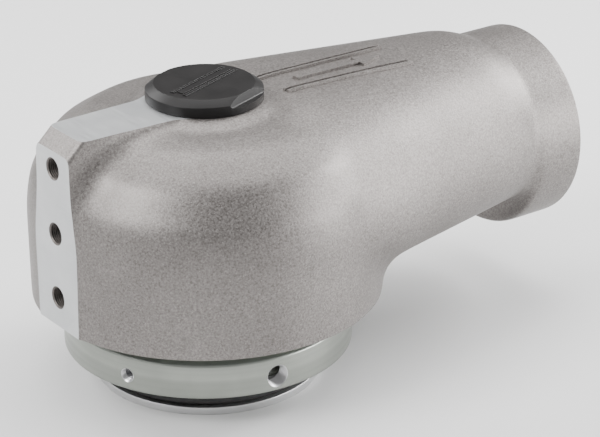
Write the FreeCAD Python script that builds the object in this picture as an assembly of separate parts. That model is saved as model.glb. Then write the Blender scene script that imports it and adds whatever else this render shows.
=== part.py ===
import FreeCAD, Part
import math
import os

# Hooded breather valve for a tank, in millimetres.
# Origin: centre of the lower flange's underside. +Z is up, +X points out of the hose spigot,
# and the pad with the three air ports faces -X.

# Clearances
run_gap = 0.08          # radial, between turned pieces that move on each other
seat_gap = 0.2          # rubber to metal at a closed valve
hole_gap = 0.05         # radial, round a screw or rod that is held still
ring_gap = 0.2          # radial, between the mounting ring and the neck
face_gap = 0.3          # between flat faces that pass each other
ring_clear = 1.5        # radial, round the valve discs
cut_margin = 1.0        # that a cut passes the face it opens

# Lower flange and seat
flange_t = 3.5
spigot_ring_d = 7.0     # section of the big O-ring
spigot_ring_side = 0.15
spigot_ring_proud = 0.2 # how far the O-ring stays inside the flange's radius
groove_land_h = 4.0
seat_wall = 10.5        # round the seat's bore
seat_depth = 8.0
seat_w = 7.5            # of the face that the rubber closes on
throat_flare = 8.0
throat_mouth_h = 6.0
seat_flange_t = 1.6
seat_lip_step = 0.6     # of the seat body inside the ring's lip, beyond the lower flange

# Mounting ring
ring_ledge = 13.25      # of the ring beyond the lower flange
ring_h = 15.4
ring_lip_t = 1.6
ring_chamfer = 1.0      # round the top's outer edge
ring_edge = 0.5         # broken edges elsewhere
clamp_hole_z = 6.7      # of the radial holes' axis above the ring's underside
grub_r = 3.0
grub_depth = 3.2        # how deep the grub screws sit
grub_key_flat = 3.0
grub_key_depth = 2.2
grub_angles = (-157.0, -37.0, 83.0)
drain_r = 5.0
drain_angles = (-97.0, 23.0, 143.0)

# Neck, pressed into the hood's floor
neck_step = 6.1         # of the neck beyond the lower flange
neck_wall = 6.1
neck_shoulder = 1.5     # that the hood's floor rests on
recess_h = 9.3          # open height between ring and rim
vee_depth = 2.0
vee_half_w = 2.0
neck_groove_w = 3.2
neck_ring_d = 2.4

# Hood: dome
dome_r = 77.0
dome_h = 82.5           # rim to dome top
dome_lean = 0.5         # of the wall outwards, above the rim
dome_side_h = 8.5       # of the upright band between the lean and the corner
dome_corner = 40.0
wall = 5.5
floor_t = 6.0

# Hood: duct and hose spigot
spigot_z = 34.8         # of the spigot's axis above the rim
spigot_r = 45.0
spigot_wall = 5.0
spigot_end_x = 176.6
spigot_len = 24.0
spigot_back_t = 4.0
spigot_chamfer = 1.0
duct_root_x = 16.0
duct_full_x = 60.0
duct_shoulder = 14.0    # length over which the duct's end rounds down to the spigot
mouth_lap = 1.0         # of the duct's hollow into the spigot's bore
duct_root_inset = 2.0   # of the duct's root inside the dome's radius
duct_end_inset = 0.82   # of its end inside the spigot's radius
duct_root_drop = 0.7    # how far the duct's root lies inside the dome
duct_shoulder_drop = 1.0
duct_end_drop = 0.3     # of the duct's end below the spigot's top
duct_bottom_h = 9.0     # of the duct's underside above the rim
duct_root_flat = 33.5   # half width of the flat top between the duct's corners, at its root
duct_full_flat = 15.64
duct_shoulder_flat = 0.2
duct_end_flat = 1.5
duct_low_corner = 27.0
duct_side_flat = 0.4    # least straight side between the upper and the lower corner
duct_mouth_step = 1.4   # of the duct's hollow inside the spigot's bore

# Hood: spine, pad and ports
spine_half_w = 12.6
pad_cut = 1.5           # of the pad's flat into the dome's radius
strip_h = 3.4           # of the machined strip above the dome
strip_chamfer_x = 6.3
strip_chamfer_z = 6.6
boss_step = 1.6         # of the boss beyond the air cylinder
boss_flare = 5.4
web_half_w = 8.5
port_r = 4.865
port_depth = 12.0
port_chamfer = 0.6
port_low_h = 13.5       # of the lowest port above the rim
port_high_drop = 14.0   # of the highest port below the strip
passage_r = 2.0
signal_r = 1.5

# Air cylinder in the hood
bore_r = 20.0
column_wall = 6.0
bore_floor_drop = 0.6   # of the bore's floor below the lowest passage
column_floor_t = 6.0
hub_wall = 3.0          # round the seal clip's groove
hub_h = 13.0
cap_thread_step = 1.0   # of the cap's thread beyond the bore
cap_thread_end = 0.9    # of the thread below the cap's plug

# Cap
cap_inset = 2.4         # of the cap inside the boss
cap_side_h = 4.6
cap_h = 7.1
cap_slope = 3.7         # of the cone between the side and the flat top
cap_flat_cut = 2.0      # of each spanner flat's foot inside the cap's radius
cap_flat_lean = 3.0     # of the flat from its foot to its top edge
cap_flat_turn = 20.0    # degrees from +X
cap_shelf_h = 3.2
cap_mark_l = 38.0       # raised place for a marking, left bare
cap_mark_w = 8.6
cap_mark_h = 0.5
cap_plug_h = 10.0
cap_wall = 3.6
cap_crown_t = 4.45
cap_ring_d = 2.0
cap_ring_w = 2.6
cap_ring_top = 1.4

# Rod, piston and bush
rod_r = 5.0
rod_end_step = 1.0
rod_screw_len = 11.0
rod_over = 0.6
stroke = 20.0
piston_t = 12.0
signal_uncover = 2.7    # piston top below the middle port's passage at full stroke
piston_groove_w = 4.0
piston_groove_d = 2.8
nut_flats = 13.0
nut_t = 6.0
bush_wall = 2.5
bush_flange_w = 3.0
bush_flange_t = 1.5
rod_seal_w = 3.5
rod_seal_t = 3.0
clip_t = 1.1
clip_groove = 1.0
clip_side = 2.0         # round the rod, inside the clip
clip_opening = 5.0
hub_edge = 1.0
rubber_side = 0.1

# Return spring
spring_wire = 2.2
spring_side = 1.4       # between the bush's flange and the wire
spring_turns = 5.5

# Main poppet
poppet_t = 4.0
seal_t = 2.3
seal_tuck = 1.5         # of the rubber's bore beyond the retainer's
seal_edge = 0.5
retainer_t = 1.8
retainer_w = 6.4
retainer_side = 0.6     # between the retainer and the throat
screw_r = 1.5
screw_inset = 2.8       # of the screws inside the retainer's edge
screw_floor = 1.0       # left under the screws in the poppet
screw_head_r = 2.3
screw_head_t = 1.6
screw_slot_w = 0.6
screw_count = 6
hub_poppet_wall = 4.0
hub_poppet_h = 9.5
relief_hole_r = 3.2
relief_hole_count = 6

# Pressure relief on the poppet
relief_seal_t = 1.3
relief_seal_side = 3.0  # between the poppet's hub and the rubber
relief_plate_w = 14.5   # round the poppet's hub
relief_plate_t = 2.0
relief_spring_wire = 1.3
relief_spring_side = 3.5    # of the wire's mean radius beyond the hub
relief_spring_turns = 4.0
collar_rim = 3.5        # of the collar beyond that radius
collar_t = 2.0
collar_gap = 13.0       # relief plate to collar
snap_w = 3.0
snap_t = 1.0
snap_groove = 0.8

# Levels
groove_w = spigot_ring_d + 2 * spigot_ring_side
groove_top_z = flange_t + groove_w
ring_z = groove_top_z + groove_land_h
lip_top_z = ring_z + ring_lip_t
seat_top_z = lip_top_z + seat_flange_t
ring_top_z = ring_z + ring_h
clamp_z = ring_z + clamp_hole_z
rim_z = ring_top_z + recess_h
neck_z = seat_top_z + face_gap
dome_top_z = rim_z + dome_h
strip_z = dome_top_z + strip_h
spigot_axis_z = rim_z + spigot_z
duct_bottom_z = rim_z + duct_bottom_h
port_low_z = rim_z + port_low_h
port_pitch = (strip_z - port_high_drop - port_low_z) / 2
signal_z = port_low_z + port_pitch
bore_floor_z = port_low_z - passage_r - bore_floor_drop
cap_plug_z = strip_z - cap_plug_h
cap_thread_z = cap_plug_z - cap_thread_end
column_z = bore_floor_z - column_floor_t
hub_z = column_z - hub_h
sleeve_top_z = column_z - face_gap
piston_top_z = signal_z - signal_r - signal_uncover + stroke
piston_z = piston_top_z - piston_t
seal_top_z = seat_depth - seat_gap
poppet_top_z = seal_top_z - seal_t
poppet_z = poppet_top_z - poppet_t
retainer_z = seal_top_z
hub_top_z = poppet_top_z + hub_poppet_h
rod_end_z = hub_top_z - rod_screw_len
relief_seal_z = poppet_top_z + seat_gap
relief_plate_z = relief_seal_z + relief_seal_t
relief_plate_top_z = relief_plate_z + relief_plate_t
collar_z = relief_plate_top_z + collar_gap
collar_top_z = collar_z + collar_t
clip_z = hub_z + hub_edge
rod_seal_z = clip_z + clip_t + rubber_side

# Radii from the rod outwards: discs, seat and lower flange
hub_poppet_r = rod_r + hub_poppet_wall
relief_plate_r = hub_poppet_r + relief_plate_w
retainer_in_r = relief_plate_r + ring_clear
retainer_out_r = retainer_in_r + retainer_w
throat_r = retainer_out_r + retainer_side
throat_mouth_r = throat_r + throat_flare
seat_bore_r = throat_r + seat_w
flange_r = seat_bore_r + seat_wall
poppet_r = seat_bore_r - ring_clear
seal_in_r = retainer_in_r + seal_tuck
screw_circle_r = retainer_out_r - screw_inset
relief_seal_in_r = hub_poppet_r + relief_seal_side
relief_circle_r = (relief_seal_in_r + relief_plate_r - seal_edge) / 2
relief_spring_r = hub_poppet_r + relief_spring_side
collar_r = relief_spring_r + collar_rim

# Radii of the ring, the neck and the hood
ring_r = flange_r + ring_ledge
neck_r = flange_r + neck_step
neck_bore_r = neck_r - neck_wall
neck_top_r = neck_r - neck_shoulder
ring_bore_r = neck_r + ring_gap
seat_flange_r = neck_r
seat_lip_r = flange_r + seat_lip_step
spigot_groove_r = flange_r - spigot_ring_proud - spigot_ring_d
neck_groove_r = neck_r - neck_ring_d
rim_r = dome_r - dome_lean
pad_x = dome_r - pad_cut
column_r = bore_r + column_wall
boss_r = column_r + boss_step
boss_foot_r = boss_r + boss_flare
cap_thread_r = bore_r + cap_thread_step
cap_r = boss_r - cap_inset
cap_top_r = cap_r - cap_slope
cap_flat_low = cap_r - cap_flat_cut
cap_flat_high = cap_flat_low - cap_flat_lean

# Length and taper of the duct
spigot_x = spigot_end_x - spigot_len
duct_root_w = dome_r - duct_root_inset
duct_taper = (duct_root_w - spigot_r + duct_end_inset) / (spigot_x - duct_root_x)

# Radii round the rod
rod_end_r = rod_r - rod_end_step
bush_r = rod_r + bush_wall
bush_flange_r = bush_r + bush_flange_w
rod_seal_r = rod_r + rod_seal_w
hub_r = rod_seal_r + clip_groove + hub_wall
spring_r = bush_flange_r + spring_side + spring_wire / 2
snap_r = rod_r + snap_w

V = FreeCAD.Vector
X_AXIS = V(1, 0, 0)
Z_AXIS = V(0, 0, 1)
CENTRE = V(0, 0, 0)


def rod(r, z0, z1):
    """Round bar on the main axis."""
    return Part.makeCylinder(r, z1 - z0, V(0, 0, z0))


def tube(r_out, r_in, z0, z1):
    """Plain turned ring on the main axis."""
    return rod(r_out, z0, z1).cut(rod(r_in, z0, z1))


def turned(points):
    """Solid turned from an outline of (radius, height) points."""
    outline = Part.makePolygon([V(r, 0, z) for r, z in points + points[:1]])
    return Part.Face(outline).revolve(CENTRE, Z_AXIS, 360)


def bar_x(r, x0, x1, z, y=0.0):
    """Round bar along X."""
    return Part.makeCylinder(r, x1 - x0, V(x0, y, z), X_AXIS)


def block(x0, x1, y0, y1, z0, z1):
    return Part.makeBox(x1 - x0, y1 - y0, z1 - z0, V(x0, y0, z0))


def o_ring(inner_r, section_d, z):
    return Part.makeTorus(inner_r + section_d / 2, section_d / 2, V(0, 0, z))


def radial(shape, angle):
    """Copy of a shape made along +X, turned about the main axis."""
    return shape.copy().rotate(CENTRE, Z_AXIS, angle)


def on_circle(make, radius, count):
    """Copies of a piece set evenly on a circle."""
    placed = []
    for i in range(count):
        turn = 2 * math.pi * i / count
        placed.append(make(radius * math.cos(turn), radius * math.sin(turn)))
    return placed


def hexagon(flats, z0, z1):
    """Hexagonal bar on the main axis, by its width across flats."""
    corner_r = flats / math.sqrt(3)
    corners = [V(corner_r * math.cos(math.radians(60 * i)), corner_r * math.sin(math.radians(60 * i)), z0)
               for i in range(7)]
    return Part.Face(Part.makePolygon(corners)).extrude(V(0, 0, z1 - z0))


def coil(wire_d, mean_r, turns, z0, z1):
    """Coil spring between two faces, as a round wire along a helix."""
    low = z0 + wire_d / 2 + hole_gap
    high = z1 - wire_d / 2 - hole_gap
    helix = Part.makeHelix((high - low) / turns, high - low, mean_r)
    helix.translate(V(0, 0, low))
    start = Part.Wire([Part.makeCircle(wire_d / 2, V(mean_r, 0, low), V(0, 1, 0))])
    return Part.Wire(helix.Edges).makePipeShell([start], True, True)


# Base: seat body, ring, O-ring and grub screws

def seat_body():
    body = turned([
        (seat_bore_r, 0), (flange_r, 0), (flange_r, flange_t),
        (spigot_groove_r, flange_t), (spigot_groove_r, groove_top_z), (flange_r, groove_top_z),
        (flange_r, ring_z), (seat_lip_r, ring_z), (seat_lip_r, lip_top_z),
        (seat_flange_r, lip_top_z), (seat_flange_r, seat_top_z),
        (throat_mouth_r, seat_top_z), (throat_r, seat_top_z - throat_mouth_h),
        (throat_r, seat_depth), (seat_bore_r, seat_depth)])
    return body


def spigot_oring():
    return o_ring(spigot_groove_r, spigot_ring_d, flange_t + groove_w / 2)


def mounting_ring():
    ring = turned([
        (seat_lip_r + hole_gap, ring_z), (ring_r - ring_edge, ring_z), (ring_r, ring_z + ring_edge),
        (ring_r, ring_top_z - ring_chamfer), (ring_r - ring_chamfer, ring_top_z),
        (ring_bore_r + ring_edge, ring_top_z), (ring_bore_r, ring_top_z - ring_edge),
        (ring_bore_r, lip_top_z), (seat_lip_r + hole_gap, lip_top_z)])
    for angle in grub_angles:
        ring = ring.cut(radial(bar_x(grub_r, neck_bore_r, ring_r + cut_margin, clamp_z), angle))
    for angle in drain_angles:
        ring = ring.cut(radial(bar_x(drain_r, neck_bore_r, ring_r + cut_margin, clamp_z), angle))
    return ring


def grub_screws():
    """Three cone point screws whose tips stand in the neck's V groove."""
    body_r = grub_r - hole_gap
    tip_x = neck_r - vee_depth + 2 * seat_gap
    out_x = ring_r - grub_depth
    screw = Part.makeCone(0, body_r, body_r, V(tip_x, 0, clamp_z), X_AXIS)
    screw = screw.fuse(bar_x(body_r, tip_x + body_r, out_x, clamp_z))
    key = hexagon(grub_key_flat, 0, grub_key_depth)
    key.rotate(CENTRE, V(0, 1, 0), 90)
    key.translate(V(out_x - grub_key_depth, 0, clamp_z))
    screw = screw.cut(key)
    return Part.makeCompound([radial(screw, angle) for angle in grub_angles])


# Hood: one casting

def dome(inset):
    """Dome body; a positive inset gives the hollow inside the wall."""
    r = dome_r - inset
    low_r = rim_r - inset
    low_z = rim_z + (floor_t if inset else 0)
    top_z = dome_top_z - inset
    corner = dome_corner - inset
    side_z = top_z - corner
    lean_z = side_z - dome_side_h
    middle = V(r - corner + corner * math.cos(math.pi / 4), 0, side_z + corner * math.sin(math.pi / 4))
    edges = [
        Part.makeLine(V(0, 0, low_z), V(low_r, 0, low_z)),
        Part.makeLine(V(low_r, 0, low_z), V(r, 0, lean_z)),
        Part.makeLine(V(r, 0, lean_z), V(r, 0, side_z)),
        Part.Arc(V(r, 0, side_z), middle, V(r - corner, 0, top_z)).toShape(),
        Part.makeLine(V(r - corner, 0, top_z), V(0, 0, top_z)),
        Part.makeLine(V(0, 0, top_z), V(0, 0, low_z))]
    return Part.Face(Part.Wire(edges)).revolve(CENTRE, Z_AXIS, 360)


def rounded_section(x, half_w, low_z, high_z, low_corner, high_corner):
    """Closed outline across the duct, with rounded corners, at one X."""
    def point(y, z):
        return V(x, y, z)

    def corner(cy, cz, r, turn):
        at = []
        for step in (0, 45, 90):
            a = math.radians(turn + step)
            at.append(point(cy + r * math.cos(a), cz + r * math.sin(a)))
        return Part.Arc(*at).toShape()

    high_y = half_w - high_corner
    low_y = half_w - low_corner
    high_c = high_z - high_corner
    low_c = low_z + low_corner
    edges = [
        corner(high_y, high_c, high_corner, 0),
        Part.makeLine(point(high_y, high_z), point(-high_y, high_z)),
        corner(-high_y, high_c, high_corner, 90),
        Part.makeLine(point(-half_w, high_c), point(-half_w, low_c)),
        corner(-low_y, low_c, low_corner, 180),
        Part.makeLine(point(-low_y, low_z), point(low_y, low_z)),
        corner(low_y, low_c, low_corner, 270),
        Part.makeLine(point(half_w, low_c), point(half_w, high_c))]
    return Part.Wire(edges)


def duct(inset):
    """Tapered duct from the dome to the spigot; a positive inset gives its hollow."""
    end_x = spigot_x
    end_step = 0
    if inset:
        end_x = spigot_x + spigot_back_t + mouth_lap
        end_step = duct_mouth_step
    stations = (
        (duct_root_x, dome_top_z - duct_root_drop, duct_root_flat, 0),
        (duct_full_x, strip_z, duct_full_flat, 0),
        (spigot_x - duct_shoulder, strip_z - duct_shoulder_drop, duct_shoulder_flat, 0),
        (end_x, spigot_axis_z + spigot_r - duct_end_drop, duct_end_flat, end_step))
    sections = []
    for x, top_z, flat, step in stations:
        off = inset + step
        half_w = duct_root_w - duct_taper * (x - duct_root_x)
        corner = min(half_w - flat, top_z - duct_bottom_z - duct_low_corner - duct_side_flat)
        sections.append(rounded_section(x, half_w - off, duct_bottom_z + inset, top_z - off,
                                        duct_low_corner - off, corner - off))
    return Part.makeLoft(sections, True, True)


def spine():
    """Upright rib that carries the ports, with the machined strip on top."""
    outline = [
        (-pad_x, rim_z), (-pad_x, strip_z - strip_chamfer_z), (-pad_x + strip_chamfer_x, strip_z),
        (0, strip_z), (0, rim_z)]
    corners = [V(x, -spine_half_w, z) for x, z in outline + outline[:1]]
    return Part.Face(Part.makePolygon(corners)).extrude(V(0, 2 * spine_half_w, 0))


def cap_boss():
    return turned([(0, dome_top_z - wall), (boss_foot_r, dome_top_z - wall), (boss_foot_r, dome_top_z),
                   (boss_r, strip_z), (0, strip_z)])


def hose_spigot():
    body = bar_x(spigot_r, spigot_x, spigot_end_x - spigot_chamfer, spigot_axis_z)
    nose = Part.makeCone(spigot_r, spigot_r - spigot_chamfer, spigot_chamfer,
                         V(spigot_end_x - spigot_chamfer, 0, spigot_axis_z), X_AXIS)
    return body.fuse(nose)


def hollow():
    """Everything inside the casting that vapour can reach."""
    space = dome(wall).fuse(duct(wall))
    space = space.fuse(rod(neck_top_r + hole_gap, rim_z, rim_z + floor_t + cut_margin))
    space = space.fuse(bar_x(spigot_r - spigot_wall, spigot_x + spigot_back_t, spigot_end_x, spigot_axis_z))
    column = rod(column_r, column_z, strip_z).fuse(rod(hub_r, hub_z, column_z))
    web = block(-pad_x, 0, -web_half_w, web_half_w, column_z, strip_z)
    return space.cut(column.fuse(web))


def port_z(i):
    return port_low_z + port_pitch * i


def port_cuts():
    """Three threaded ports in the pad, each with its passage to the cylinder."""
    cuts = []
    for i, drill_r in enumerate((passage_r, signal_r, passage_r)):
        z = port_z(i)
        mouth = bar_x(port_r, -pad_x, -pad_x + port_depth, z)
        cone = Part.makeCone(port_r + port_chamfer, port_r, port_chamfer, V(-pad_x, 0, z), X_AXIS)
        cuts += [mouth.fuse(cone), bar_x(drill_r, -pad_x + cut_margin, 0, z)]
    return cuts


def cylinder_cuts():
    """Bore, cap thread and the stepped hole for the rod's bush and seal."""
    return [
        rod(bore_r, bore_floor_z, strip_z),
        rod(cap_thread_r, cap_thread_z, strip_z),
        rod(bush_r, hub_z, bore_floor_z),
        rod(rod_seal_r, hub_z, rod_seal_z + rod_seal_t + rubber_side),
        rod(rod_seal_r + clip_groove, clip_z, clip_z + clip_t)]


def hood():
    outside = dome(0).fuse(duct(0))
    outside = outside.fuse(hose_spigot())
    outside = outside.fuse(cap_boss().fuse(spine()))
    outside = outside.cut(block(-dome_r - cut_margin, -pad_x, -dome_r, dome_r,
                                rim_z - cut_margin, strip_z + cut_margin))
    body = outside.cut(hollow())
    for cut in port_cuts() + cylinder_cuts():
        body = body.cut(cut)
    return body.removeSplitter()


# Neck: turned sleeve with the V groove for the grub screws and a groove for its O-ring

def neck_ring_z():
    """Height of the neck's O-ring, between the clamp holes and the ring's top."""
    return (clamp_z + drain_r + ring_top_z) / 2 - ring_chamfer / 2


def neck_sleeve():
    groove_low = neck_ring_z() - neck_groove_w / 2
    groove_high = neck_ring_z() + neck_groove_w / 2
    return turned([
        (neck_bore_r, neck_z), (neck_r, neck_z),
        (neck_r, clamp_z - vee_half_w), (neck_r - vee_depth, clamp_z), (neck_r, clamp_z + vee_half_w),
        (neck_r, groove_low), (neck_groove_r, groove_low), (neck_groove_r, groove_high),
        (neck_r, groove_high),
        (neck_r, rim_z), (neck_top_r, rim_z), (neck_top_r, sleeve_top_z), (neck_bore_r, sleeve_top_z)])


def neck_oring():
    return o_ring(neck_groove_r + hole_gap, neck_ring_d - hole_gap, neck_ring_z())


# Bush and seal in the cylinder's hub

def rod_bush():
    floor_z = bore_floor_z
    low_z = rod_seal_z + rod_seal_t + 2 * rubber_side
    return turned([
        (rod_r + run_gap, low_z), (bush_r, low_z), (bush_r, floor_z), (bush_flange_r, floor_z),
        (bush_flange_r, floor_z + bush_flange_t), (rod_r + run_gap, floor_z + bush_flange_t)])


def rod_seal():
    return tube(rod_seal_r, rod_r + run_gap, rod_seal_z, rod_seal_z + rod_seal_t)


def seal_clip():
    """Open ring in the hub's groove, below the rod seal."""
    out_r = rod_seal_r + clip_groove - hole_gap
    ring = tube(out_r, rod_r + clip_side, clip_z, clip_z + clip_t - hole_gap)
    return ring.cut(block(0, out_r, -clip_opening / 2, clip_opening / 2, clip_z, clip_z + clip_t))


# Valve: rod, piston, spring and poppet

def piston_rod():
    top_z = piston_top_z + nut_t + rod_over
    body = rod(rod_end_r, rod_end_z, top_z).fuse(rod(rod_r, hub_top_z, piston_z))
    return body.cut(tube(rod_r + cut_margin, rod_r - snap_groove, collar_top_z, collar_top_z + snap_t))


def piston():
    body = rod(bore_r - run_gap, piston_z, piston_top_z)
    body = body.cut(rod(rod_end_r + hole_gap, piston_z, piston_top_z))
    groove_z = piston_z + (piston_t - piston_groove_w) / 2
    return body.cut(tube(bore_r, bore_r - run_gap - piston_groove_d, groove_z, groove_z + piston_groove_w))


def piston_seal():
    middle = piston_z + piston_t / 2
    half = piston_groove_w / 2 - rubber_side
    inner = bore_r - run_gap - piston_groove_d + hole_gap
    return tube(bore_r - hole_gap, inner, middle - half, middle + half)


def piston_nut():
    return hexagon(nut_flats, piston_top_z, piston_top_z + nut_t).cut(
        rod(rod_end_r + hole_gap, piston_top_z, piston_top_z + nut_t))


def return_spring():
    return coil(spring_wire, spring_r, spring_turns, bore_floor_z, piston_z)


def poppet():
    body = rod(poppet_r, poppet_z, poppet_top_z).fuse(rod(hub_poppet_r, poppet_top_z, hub_top_z))
    body = body.cut(rod(rod_end_r + hole_gap, rod_end_z - face_gap, hub_top_z))
    holes = on_circle(lambda x, y: Part.makeCylinder(relief_hole_r, poppet_t, V(x, y, poppet_z)),
                      relief_circle_r, relief_hole_count)
    return body.cut(holes + screw_holes())


def screw_low_z():
    return poppet_z + screw_floor


def screw_holes():
    """Holes for the retainer's screws, through seal and retainer into the poppet."""
    low_z = screw_low_z() - hole_gap
    height = retainer_z + retainer_t - low_z
    return on_circle(lambda x, y: Part.makeCylinder(screw_r + hole_gap, height, V(x, y, low_z)),
                     screw_circle_r, screw_count)


def poppet_seal():
    return tube(poppet_r - seal_edge, seal_in_r, poppet_top_z, seal_top_z).cut(screw_holes())


def seal_retainer():
    return tube(retainer_out_r, retainer_in_r, retainer_z, retainer_z + retainer_t).cut(screw_holes())


def retainer_screws():
    """Pan head screws round the seal retainer."""
    head_z = retainer_z + retainer_t

    def screw(x, y):
        shank = Part.makeCylinder(screw_r, head_z - screw_low_z(), V(x, y, screw_low_z()))
        head = Part.makeCylinder(screw_head_r, screw_head_t, V(x, y, head_z))
        slot = block(x - screw_head_r, x + screw_head_r, y - screw_slot_w / 2, y + screw_slot_w / 2,
                     head_z + screw_head_t / 2, head_z + screw_head_t)
        return shank.fuse(head).cut(slot)

    return Part.makeCompound(on_circle(screw, screw_circle_r, screw_count))


def relief_plate():
    return tube(relief_plate_r, hub_poppet_r + run_gap, relief_plate_z, relief_plate_top_z)


def relief_seal():
    return tube(relief_plate_r - seal_edge, relief_seal_in_r, relief_seal_z, relief_plate_z)


def relief_spring():
    return coil(relief_spring_wire, relief_spring_r, relief_spring_turns, relief_plate_top_z, collar_z)


def relief_collar():
    return tube(collar_r, rod_r + hole_gap, collar_z, collar_top_z)


def collar_clip():
    """Snap ring in the rod's groove, above the collar."""
    ring = tube(snap_r, rod_r - snap_groove + hole_gap, collar_top_z, collar_top_z + snap_t - hole_gap)
    return ring.cut(block(0, snap_r, -clip_opening / 2, clip_opening / 2,
                          collar_top_z, collar_top_z + snap_t))


# Cap on the air cylinder

def cylinder_cap():
    head = turned([(0, strip_z), (cap_r, strip_z), (cap_r, strip_z + cap_side_h),
                   (cap_top_r, strip_z + cap_h), (0, strip_z + cap_h)])
    over_r = cap_r + cut_margin
    over_z = strip_z + cap_h + cut_margin
    outline = [(cap_flat_low, strip_z + cap_shelf_h), (cap_flat_high, strip_z + cap_h),
               (cap_flat_high, over_z), (over_r, over_z), (over_r, strip_z + cap_shelf_h)]
    corners = [V(-cap_r, y, z) for y, z in outline + outline[:1]]
    flat = Part.Face(Part.makePolygon(corners)).extrude(V(2 * cap_r, 0, 0))
    for turn in (0, 180):
        head = head.cut(radial(flat, cap_flat_turn + turn))
    mark = block(-cap_mark_l / 2, cap_mark_l / 2, -cap_mark_w / 2, cap_mark_w / 2,
                 strip_z + cap_side_h, strip_z + cap_h + cap_mark_h)
    head = head.fuse(radial(mark, cap_flat_turn))
    plug_r = cap_thread_r - run_gap
    plug = rod(plug_r, cap_plug_z, strip_z)
    inner = rod(plug_r - cap_wall, cap_plug_z, strip_z + cap_h - cap_crown_t)
    groove_top = strip_z - cap_ring_top
    groove = tube(plug_r + cut_margin, cap_seal_r() - hole_gap, groove_top - cap_ring_w, groove_top)
    return head.fuse(plug).cut(inner).cut(groove)


def cap_seal_r():
    """Inner radius of the O-ring under the cap."""
    return cap_thread_r - hole_gap - cap_ring_d


def cap_seal():
    return o_ring(cap_seal_r(), cap_ring_d, strip_z - cap_ring_top - cap_ring_w / 2)


nodes = {
    "seat_body": seat_body,
    "spigot_oring": spigot_oring,
    "mounting_ring": mounting_ring,
    "grub_screws": grub_screws,
    "hood": hood,
    "neck_sleeve": neck_sleeve,
    "neck_oring": neck_oring,
    "rod_bush": rod_bush,
    "rod_seal": rod_seal,
    "seal_clip": seal_clip,
    "piston_rod": piston_rod,
    "piston": piston,
    "piston_seal": piston_seal,
    "piston_nut": piston_nut,
    "return_spring": return_spring,
    "poppet": poppet,
    "poppet_seal": poppet_seal,
    "seal_retainer": seal_retainer,
    "retainer_screws": retainer_screws,
    "relief_plate": relief_plate,
    "relief_seal": relief_seal,
    "relief_spring": relief_spring,
    "relief_collar": relief_collar,
    "collar_clip": collar_clip,
    "cylinder_cap": cylinder_cap,
    "cap_seal": cap_seal,
}

os.makedirs("parts", exist_ok=True)
for name, make in nodes.items():
    shape = make()
    shape.exportStep("parts/" + name + ".step")
    print(name, "solids", len(shape.Solids), "volume", round(shape.Volume, 1), "valid", shape.isValid())
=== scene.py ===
# %% [markdown]
# # A hooded breather valve
#
# This valve lets a tank breathe. A sand cast hood stands on a turned neck, a clamp ring grips the neck,
# and the lower flange with its big O-ring plugs into the tank. The hose spigot carries vapour away, and
# air let in at the highest of the three ports pushes a piston down inside the hood, which opens the
# valve.
#
# The frame holds every piece at its real size. This lesson gives the pieces that show a finer shape and
# every piece a finish. We load the frame first, and read the sizes of its pieces from their boxes. No
# new piece may reach outside it.

# %% Load the frame
import math
import bmesh
import bpy
from mathutils import Matrix, Vector
from mathutils.bvhtree import BVHTree


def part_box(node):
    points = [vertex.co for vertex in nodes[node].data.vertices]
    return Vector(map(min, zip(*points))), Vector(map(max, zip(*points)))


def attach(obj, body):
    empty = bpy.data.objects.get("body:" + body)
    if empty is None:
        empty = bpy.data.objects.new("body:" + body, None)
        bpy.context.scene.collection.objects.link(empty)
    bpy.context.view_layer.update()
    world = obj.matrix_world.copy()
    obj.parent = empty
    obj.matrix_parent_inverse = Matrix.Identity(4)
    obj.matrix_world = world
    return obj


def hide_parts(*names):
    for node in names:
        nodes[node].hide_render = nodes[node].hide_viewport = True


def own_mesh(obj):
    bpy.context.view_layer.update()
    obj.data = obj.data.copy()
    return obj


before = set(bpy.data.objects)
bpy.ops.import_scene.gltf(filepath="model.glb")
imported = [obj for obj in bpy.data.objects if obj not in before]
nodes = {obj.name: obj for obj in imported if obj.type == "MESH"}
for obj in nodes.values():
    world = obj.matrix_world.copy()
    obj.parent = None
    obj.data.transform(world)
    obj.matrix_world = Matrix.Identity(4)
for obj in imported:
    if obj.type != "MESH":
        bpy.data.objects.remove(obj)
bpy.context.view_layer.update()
MM = 0.001

# %% [markdown]
# ## Camera
#
# The valve was photographed at an angle, with its ports on the left and its hose spigot on the right, a
# little from above and with a long lens. An Euler turn of the camera is easy to read: tilt it down from
# the horizon, then turn it about the vertical. The place was worked out from the round edges of the rim,
# the cap and the ring.

# %% Set up the camera
camera_azimuth = -36.51
camera_elevation = 24.02
camera_place = Vector((-0.54282, -0.801237, 0.500126))
camera_lens = 146.98

camera_data = bpy.data.cameras.new("camera")
camera_data.lens = camera_lens
camera_data.sensor_width = 36.0
camera_data.sensor_fit = "HORIZONTAL"
camera = bpy.data.objects.new("camera", camera_data)
camera.location = camera_place
camera.rotation_euler = (math.radians(90 - camera_elevation), 0, math.radians(camera_azimuth))
bpy.context.scene.collection.objects.link(camera)
bpy.context.scene.camera = camera
print("camera at", tuple(round(v, 3) for v in camera_place))

# %% [markdown]
# ## Node helpers
#
# Every finish below is a small tree of nodes. Two helpers keep the trees short: one adds a node and sets
# its sockets, the other starts a material with a Principled shader and Object coordinates. Object
# coordinates are in metres here, so a noise scale of 1000 gives grains of about one millimetre.

# %% Helpers for materials


def add_node(tree, kind, settings=None, **sockets):
    """A new node; settings are its own properties, sockets its input values or links."""
    made = tree.nodes.new(kind)
    for key, value in (settings or {}).items():
        setattr(made, key, value)
    for key, value in sockets.items():
        socket = made.inputs[key.replace("_", " ")]
        if isinstance(value, bpy.types.NodeSocket):
            tree.links.new(value, socket)
        else:
            socket.default_value = value
    return made


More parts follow.
